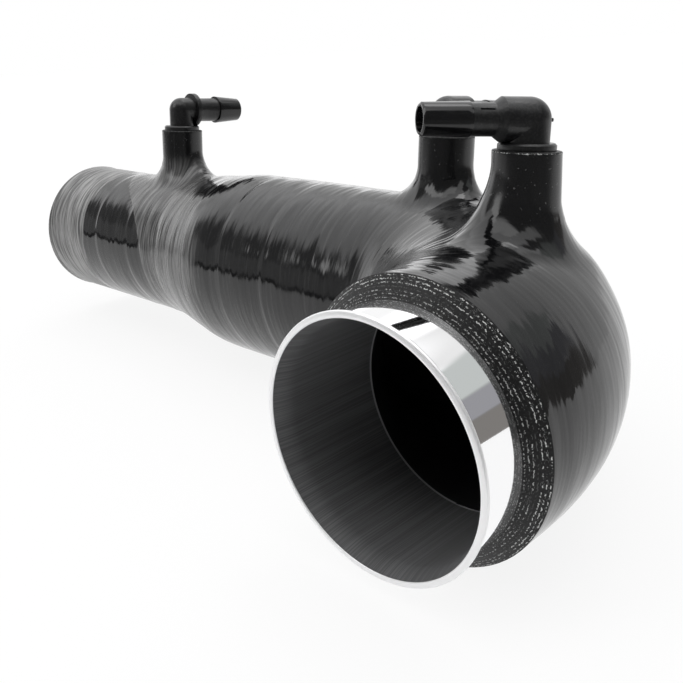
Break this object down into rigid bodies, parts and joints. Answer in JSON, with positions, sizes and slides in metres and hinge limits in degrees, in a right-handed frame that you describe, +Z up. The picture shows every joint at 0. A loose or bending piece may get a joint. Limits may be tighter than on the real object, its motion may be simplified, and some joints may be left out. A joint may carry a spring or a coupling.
{
  "type": "turbo intake hose",
  "caption": "Black silicone turbo intake hose: reducing tube with a right-angle elbow, raised bosses with barbed hose elbows and a metal sleeve in its mouth.",
  "frame": {"origin": "under the middle of the whole hose, on the level of its lowest point, the underside of the mouth", "axes": "+X along the main tube from the far cuff to the elbow, -Y out of the mouth, +Z up through the bosses"},
  "size_m": [0.3764, 0.1578, 0.1364],
  "materials": {
    "silicone": "glossy black silicone with fine wrap marks round the tube and pale yarn ends on the cut face",
    "sleeve_metal": "polished",
    "nylon": "satin black moulded plastic"
  },
  "bodies": {
    "root": {"silicone_hose": "silicone", "inlet_sleeve": "sleeve_metal", "far_elbow": "nylon", "middle_elbow": "nylon", "near_elbow": "nylon"}
  },
  "joints": []
}
